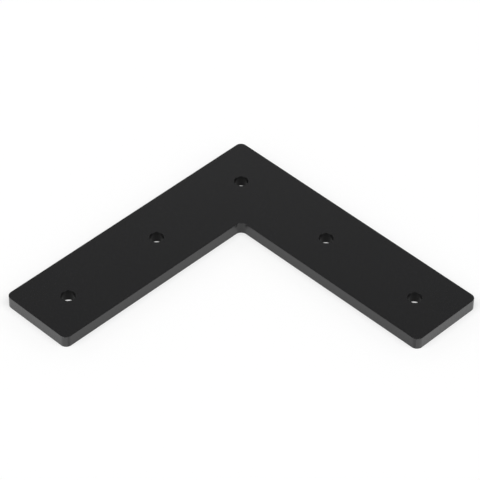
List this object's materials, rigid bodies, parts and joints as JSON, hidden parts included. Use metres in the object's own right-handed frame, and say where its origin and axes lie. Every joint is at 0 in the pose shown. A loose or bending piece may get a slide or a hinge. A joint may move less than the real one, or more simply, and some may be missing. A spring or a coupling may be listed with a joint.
{
  "type": "extrusion joining plate",
  "caption": "Flat L-shaped plate with equal legs, rounded corners and plain screw holes, for joining framing extrusions at a square corner.",
  "frame": {"origin": "the corner hole's axis at the underside, the face that lies on the extrusions", "axes": "+X and +Y along the legs' centre lines, away from the corner; +Z out of the top face"},
  "size_m": [0.151, 0.151, 0.006],
  "materials": {
    "black_anodised": "satin black anodised"
  },
  "bodies": {
    "root": {"joining_plate": "black_anodised"}
  },
  "joints": []
}
